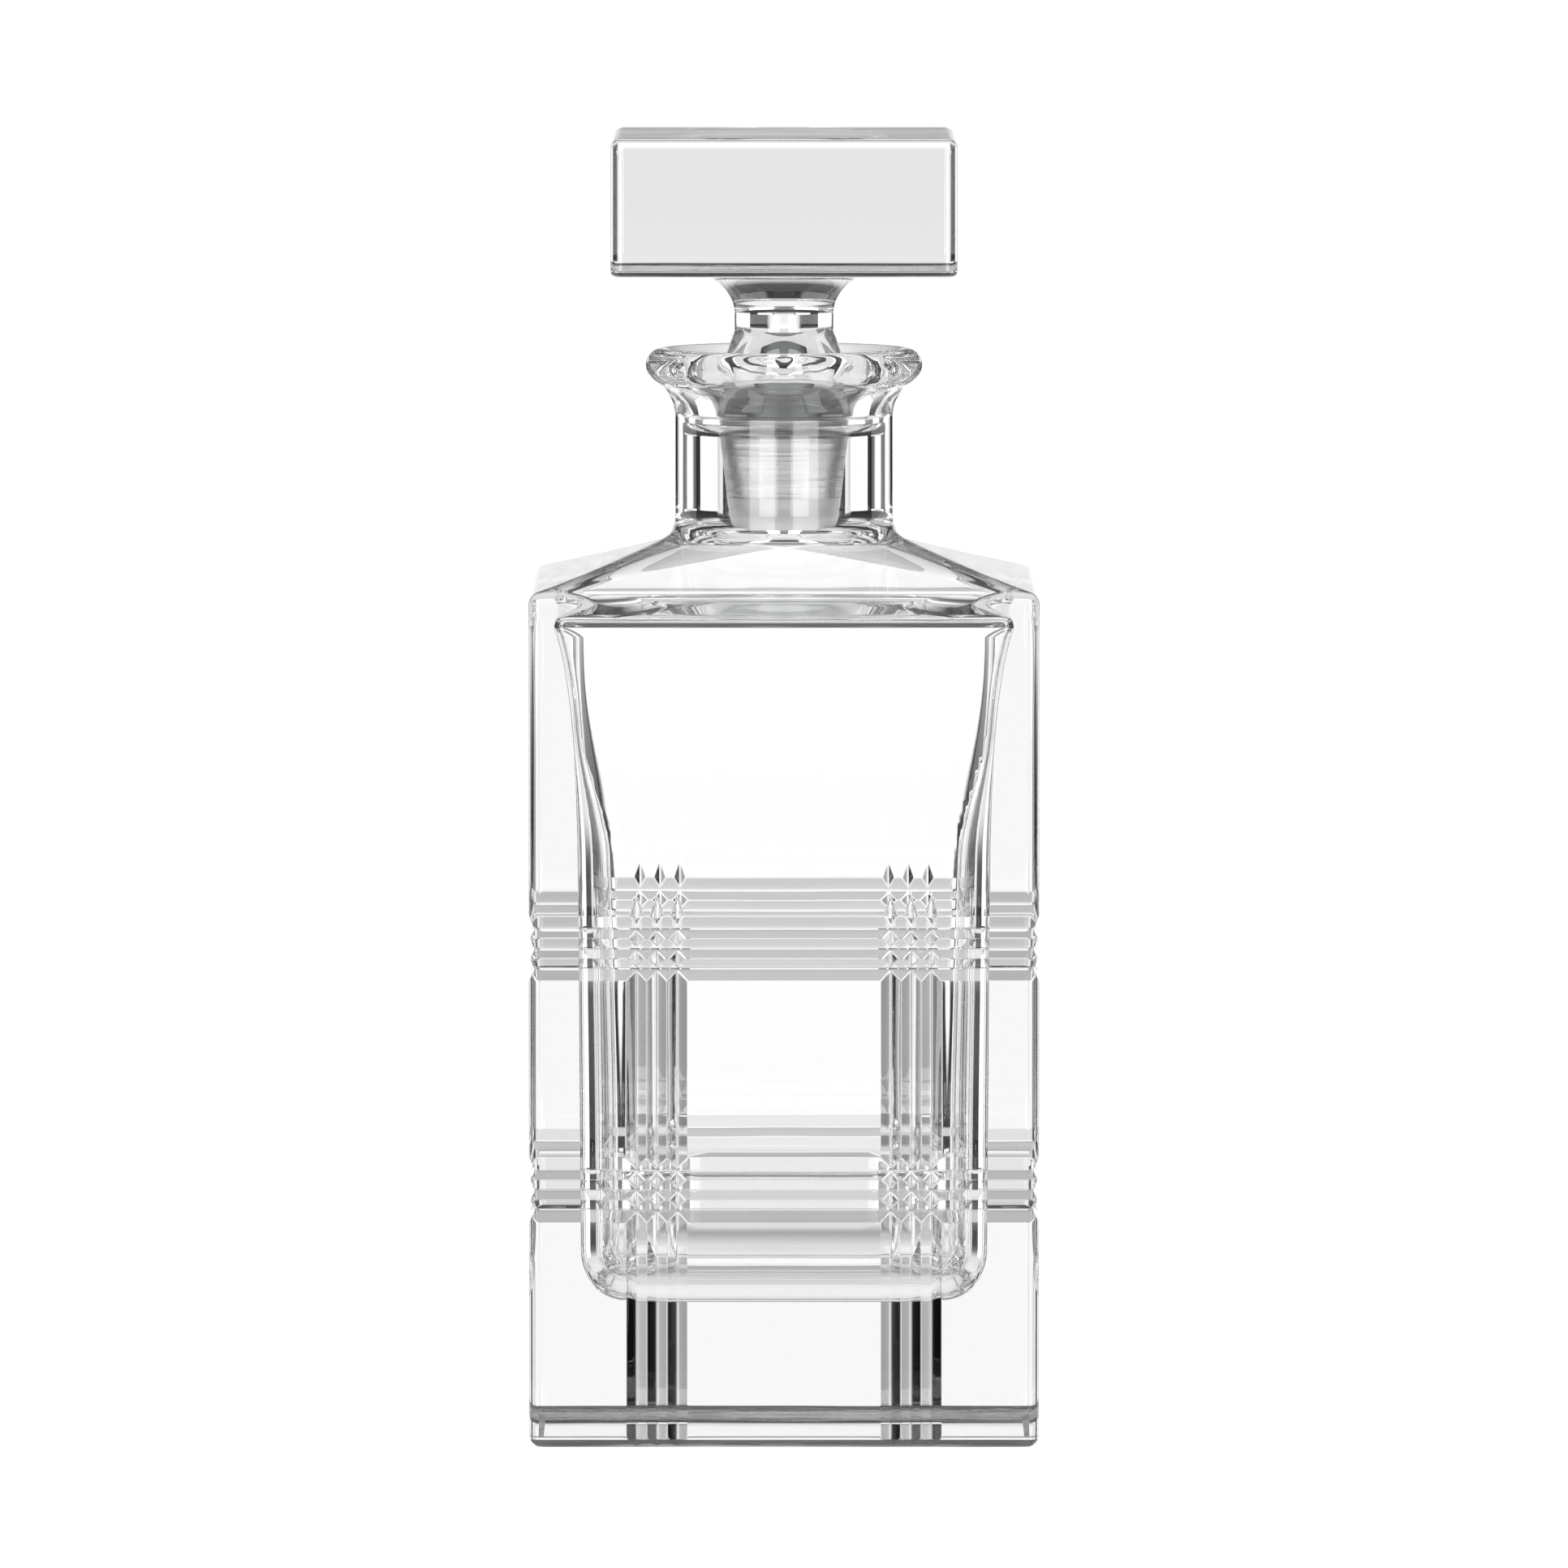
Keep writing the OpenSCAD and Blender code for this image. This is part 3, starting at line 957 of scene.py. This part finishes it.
@dataclass(frozen=True)
class PolishedCrystal:
    """Clear lead crystal, cut and polished."""

    name: str = "polished_crystal"
    refraction: float = 1.54
    swell_scale: float = 38.0
    swell_height: float = 0.00006
    swell_upright: float = 1.0
    marks_roughness: float = 0.012

    def material(self, unevenness: bpy.types.NodeTree) -> bpy.types.Material:
        """Makes the material.

        Args:
            unevenness: The shared group of slow unevenness and marks.

        Returns:
            The finished material.
        """
        made = bpy.data.materials.new(self.name)
        made.use_nodes = True
        nodes, links = made.node_tree.nodes, made.node_tree.links
        shader = nodes["Principled BSDF"]
        shader.inputs["Base Color"].default_value = (0.992, 0.994, 0.994, 1.0)
        shader.inputs["Transmission Weight"].default_value = 1.0
        shader.inputs["IOR"].default_value = self.refraction
        uneven = nodes.new("ShaderNodeGroup")
        uneven.node_tree = unevenness
        uneven.inputs["Scale"].default_value = self.swell_scale
        uneven.inputs["Upright"].default_value = self.swell_upright
        marks = nodes.new("ShaderNodeMapRange")
        set_range(marks, (0.55, 0.8), (0.0, self.marks_roughness))
        bump = nodes.new("ShaderNodeBump")
        bump.inputs["Strength"].default_value = 1.0
        bump.inputs["Distance"].default_value = self.swell_height
        wire(
            links,
            (uneven, "Marks", marks, "Value"),
            (marks, "Result", shader, "Roughness"),
            (uneven, "Height", bump, "Height"),
            (bump, "Normal", shader, "Normal"),
        )
        steep_in_glass(made)
        return made


@dataclass(frozen=True)
class GroundCrystal:
    """Crystal ground with fine grit, as on the plug, with the wheel's rings in it.

    Other grits give the satin tip of the plug and the edges that wear has scratched.
    """

    name: str = "ground_crystal"
    refraction: float = 1.54
    low_roughness: float = 0.18
    high_roughness: float = 0.3
    clearness: float = 1.0
    ring_scale: float = 900.0
    ring_height: float = 0.0001

    def material(self) -> bpy.types.Material:
        """Makes the material.

        Returns:
            The finished material.
        """
        made = bpy.data.materials.new(self.name)
        made.use_nodes = True
        nodes, links = made.node_tree.nodes, made.node_tree.links
        shader = nodes["Principled BSDF"]
        shader.inputs["Base Color"].default_value = (0.997, 0.998, 0.998, 1.0)
        shader.inputs["Transmission Weight"].default_value = self.clearness
        shader.inputs["IOR"].default_value = self.refraction
        place = nodes.new("ShaderNodeTexCoord")
        stretch = nodes.new("ShaderNodeMapping")
        stretch.inputs["Scale"].default_value = (0.04, 0.04, 1.0)
        rings = nodes.new("ShaderNodeTexNoise")
        rings.inputs["Scale"].default_value = self.ring_scale
        rings.inputs["Detail"].default_value = 4.0
        spread = nodes.new("ShaderNodeMapRange")
        set_range(spread, (0.3, 0.7), (self.low_roughness, self.high_roughness))
        bump = nodes.new("ShaderNodeBump")
        bump.inputs["Strength"].default_value = 1.0
        bump.inputs["Distance"].default_value = self.ring_height
        wire(
            links,
            (place, "Object", stretch, "Vector"),
            (stretch, "Vector", rings, "Vector"),
            (rings, "Fac", spread, "Value"),
            (spread, "Result", shader, "Roughness"),
            (rings, "Fac", bump, "Height"),
            (bump, "Normal", shader, "Normal"),
        )
        steep_in_glass(made)
        return made


@dataclass(frozen=True)
class Card:
    """A white card or softbox that only the glass sees, carried on the camera's boom.

    It is placed as a photographer places one: by its bearing from the line of sight behind the
    decanter, its distance from the decanter and its height over that line, in degrees and metres.
    """

    name: str
    bearing: float
    distance: float
    height: float
    half_width: float
    half_height: float
    low_glow: float
    high_glow: float
    side_fade: float
    top_fade: float

    def build(self, camera: bpy.types.Object, reach: float) -> bpy.types.Object:
        """Hangs the card facing the decanter.

        Args:
            camera: The camera that carries the card.
            reach: Distance from the camera to the middle of the decanter.

        Returns:
            The card.
        """
        w, h = self.half_width, self.half_height
        mesh = bpy.data.meshes.new(self.name)
        mesh.from_pydata([(-w, -h, 0.0), (w, -h, 0.0), (w, h, 0.0), (-w, h, 0.0)], [], [(0, 1, 2, 3)])
        mesh.materials.append(self.glow())
        card = bpy.data.objects.new(self.name, mesh)
        turn = math.radians(self.bearing)
        card.parent = camera
        card.location = (self.distance * math.sin(turn), self.height, -reach - self.distance * math.cos(turn))
        card.rotation_euler = (0.0, -turn, 0.0)
        card.visible_camera = False
        bpy.context.scene.collection.objects.link(card)
        return card

    def fade(
        self,
        tree: bpy.types.NodeTree,
        place: bpy.types.NodeSocket,
        ends: tuple[float, float],
        values: tuple[float, float],
    ) -> bpy.types.NodeSocket:
        """Smooth change of a value along the card.

        Args:
            tree: The material's nodes.
            place: Where a point lies on the card.
            ends: Places where the change begins and ends.
            values: Value at each end.

        Returns:
            The socket that carries the value.
        """
        ramp = tree.nodes.new("ShaderNodeMapRange")
        ramp.interpolation_type = "SMOOTHSTEP"
        set_range(ramp, ends, values)
        tree.links.new(place, ramp.inputs["Value"])
        return ramp.outputs["Result"]

    def glow(self) -> bpy.types.Material:
        """Makes the card's glow, which dies away towards its sides and its top.

        Returns:
            The card's material.
        """
        made = bpy.data.materials.new(self.name)
        made.use_nodes = True
        tree = made.node_tree
        nodes, links = tree.nodes, tree.links
        nodes.clear()
        place = nodes.new("ShaderNodeTexCoord")
        split = nodes.new("ShaderNodeSeparateXYZ")
        aside = nodes.new("ShaderNodeMath")
        aside.operation = "ABSOLUTE"
        links.new(place.outputs["Object"], split.inputs["Vector"])
        links.new(split.outputs["X"], aside.inputs[0])
        w, h = self.half_width, self.half_height
        parts = (
            self.fade(tree, split.outputs["Y"], (0.0, h - self.top_fade), (self.low_glow, self.high_glow)),
            self.fade(tree, split.outputs["Y"], (h - self.top_fade, h), (1.0, 0.0)),
            self.fade(tree, aside.outputs["Value"], (w - self.side_fade, w), (1.0, 0.0)),
        )
        product = parts[0]
        for part in parts[1:]:
            times = nodes.new("ShaderNodeMath")
            times.operation = "MULTIPLY"
            links.new(product, times.inputs[0])
            links.new(part, times.inputs[1])
            product = times.outputs["Value"]
        glow = nodes.new("ShaderNodeEmission")
        out = nodes.new("ShaderNodeOutputMaterial")
        links.new(product, glow.inputs["Strength"])
        links.new(glow.outputs["Emission"], out.inputs["Surface"])
        return made


CARDS = (
    Card("back_card", 0.0, 1.0, 0.02, 0.285, 0.29, 1.22, 0.97, 0.15, 0.16),
    Card("left_wing", -16.5, 0.98, 0.20, 0.14, 0.05, 1.1, 1.1, 0.03, 0.02),
    Card("right_wing", 16.5, 0.98, 0.20, 0.14, 0.05, 1.1, 1.1, 0.03, 0.02),
    Card("left_panel", -54.0, 0.8, -0.08, 0.307, 0.30, 1.15, 1.15, 0.02, 0.05),
    Card("right_panel", 54.0, 0.8, -0.08, 0.307, 0.30, 1.15, 1.15, 0.02, 0.05),
    Card("left_front_fill", -157.0, 0.9, 0.26, 0.24, 0.36, 4.5, 4.5, 0.05, 0.05),
    Card("right_front_fill", 157.0, 0.9, 0.26, 0.24, 0.36, 4.5, 4.5, 0.05, 0.05),
)


@dataclass
class Studio:
    """Camera, pale floor, the cards round the decanter and the dim room beyond them."""

    distance: float = 3.431
    eye_height: float = 0.3598
    tilt: float = 4.006
    focal_length: float = 423.4
    floor_half: float = 40.0
    floor_gap: float = 0.0002
    white: float = 1.05
    room: tuple[tuple[float, float], ...] = (
        (-90.0, 1.0),
        (-44.0, 0.92),
        (-24.0, 0.85),
        (-12.0, 0.25),
        (-5.0, 0.03),
        (10.0, 0.03),
        (36.0, 0.06),
        (48.0, 0.95),
        (90.0, 1.05),
    )

    def camera(self) -> bpy.types.Object:
        """Places the long-lens camera in front of the decanter, looking a little down.

        Returns:
            The scene's camera.
        """
        data = bpy.data.cameras.new("camera")
        data.sensor_width = 36.0
        data.lens = self.focal_length
        data.clip_start, data.clip_end = 0.1, 200.0
        camera = bpy.data.objects.new("camera", data)
        camera.location = (0.0, -self.distance, self.eye_height)
        camera.rotation_euler = (math.radians(90.0 - self.tilt), 0.0, 0.0)
        bpy.context.scene.collection.objects.link(camera)
        bpy.context.scene.camera = camera
        return camera

    def cards(self, camera: bpy.types.Object) -> None:
        """Hangs every card round the middle of the decanter.

        Args:
            camera: The camera that carries the cards.
        """
        reach = self.distance / math.cos(math.radians(self.tilt))
        for card in CARDS:
            card.build(camera, reach)

    def floor(self) -> bpy.types.Object:
        """Lays the plain pale floor just under the sole; the glass is lit by the room instead.

        Returns:
            The floor.
        """
        s, z = self.floor_half, -self.floor_gap
        mesh = bpy.data.meshes.new("floor")
        mesh.from_pydata([(-s, -s, z), (s, -s, z), (s, s, z), (-s, s, z)], [], [(0, 1, 2, 3)])
        floor = bpy.data.objects.new("floor", mesh)
        material = bpy.data.materials.new("pale_floor")
        material.use_nodes = True
        nodes, links = material.node_tree.nodes, material.node_tree.links
        nodes.clear()
        glow = nodes.new("ShaderNodeEmission")
        glow.inputs["Strength"].default_value = self.white
        out = nodes.new("ShaderNodeOutputMaterial")
        links.new(glow.outputs["Emission"], out.inputs["Surface"])
        mesh.materials.append(material)
        floor.visible_transmission = False
        floor.visible_glossy = False
        bpy.context.scene.collection.objects.link(floor)
        return floor

    def surroundings(self) -> bpy.types.World:
        """Makes the room: its light depends only on height, and the camera sees it as plain white.

        Returns:
            The scene's world.
        """
        world = bpy.data.worlds.new("studio")
        world.use_nodes = True
        nodes, links = world.node_tree.nodes, world.node_tree.links
        nodes.clear()
        place = nodes.new("ShaderNodeTexCoord")
        split = nodes.new("ShaderNodeSeparateXYZ")
        height = nodes.new("ShaderNodeMapRange")
        height.inputs["From Min"].default_value = -1.0
        ramp = nodes.new("ShaderNodeValToRGB")
        stops = ramp.color_ramp.elements
        for k, (elevation, grey) in enumerate(self.room):
            at = (math.sin(math.radians(elevation)) + 1.0) / 2.0
            stop = stops[k] if k < len(stops) else stops.new(at)
            stop.position = at
            stop.color = (grey, grey, grey, 1.0)
        path = nodes.new("ShaderNodeLightPath")
        pick = nodes.new("ShaderNodeMix")
        pick.data_type = "RGBA"
        pick.inputs["B"].default_value = (self.white, self.white, self.white, 1.0)
        back = nodes.new("ShaderNodeBackground")
        out = nodes.new("ShaderNodeOutputWorld")
        wire(
            links,
            (place, "Generated", split, "Vector"),
            (split, "Z", height, "Value"),
            (height, "Result", ramp, "Fac"),
            (path, "Is Camera Ray", pick, "Factor"),
            (ramp, "Color", pick, "A"),
            (pick, "Result", back, "Color"),
            (back, "Background", out, "Surface"),
        )
        bpy.context.scene.world = world
        return world

    def light_paths(self) -> None:
        """Lets light pass through every wall of the glass, and keeps whites white."""
        scene = bpy.context.scene
        scene.cycles.max_bounces = 40
        scene.cycles.transmission_bounces = 40
        scene.cycles.glossy_bounces = 24
        scene.view_settings.view_transform = "Standard"


def crystal_finishes() -> list[bpy.types.Material]:
    """Makes the finishes that both pieces share.

    Returns:
        One material for each Surface, in its order.
    """
    unevenness = unevenness_group()
    fire_finished = PolishedCrystal(
        "fire_finished_crystal", swell_scale=260.0, swell_height=0.0001, swell_upright=0.35
    )
    satin = GroundCrystal(
        "satin_crystal", low_roughness=0.06, high_roughness=0.14, clearness=0.3, ring_height=0.00001
    )
    worn = GroundCrystal(
        "worn_crystal", low_roughness=0.3, high_roughness=0.6, ring_scale=1500.0, ring_height=0.0003
    )
    return [
        PolishedCrystal().material(unevenness),
        GroundCrystal().material(),
        fire_finished.material(unevenness),
        satin.material(),
        worn.material(),
    ]


def main() -> None:
    """Builds the studio, then the vessel, then the stopper."""
    logging.basicConfig(level=logging.INFO, format="%(message)s")
    studio = Studio()
    studio.cards(studio.camera())
    studio.floor()
    studio.surroundings()
    studio.light_paths()
    finishes = crystal_finishes()
    low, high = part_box("decanter_body")
    vessel = Vessel(half=(high.x - low.x) / 2 / MM)
    piece = vessel.build(finishes)
    vessel.dress(piece)
    LOG.info("%s: %d faces", piece.name, len(piece.data.polygons))
    low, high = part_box("stopper")
    stopper = Stopper(half=(high.x - low.x) / 2 / MM, top=high.z / MM, tip=low.z / MM)
    piece = stopper.build(finishes)
    stopper.dress(piece)
    LOG.info("%s: %d faces", piece.name, len(piece.data.polygons))


if __name__ == "__main__":
    main()
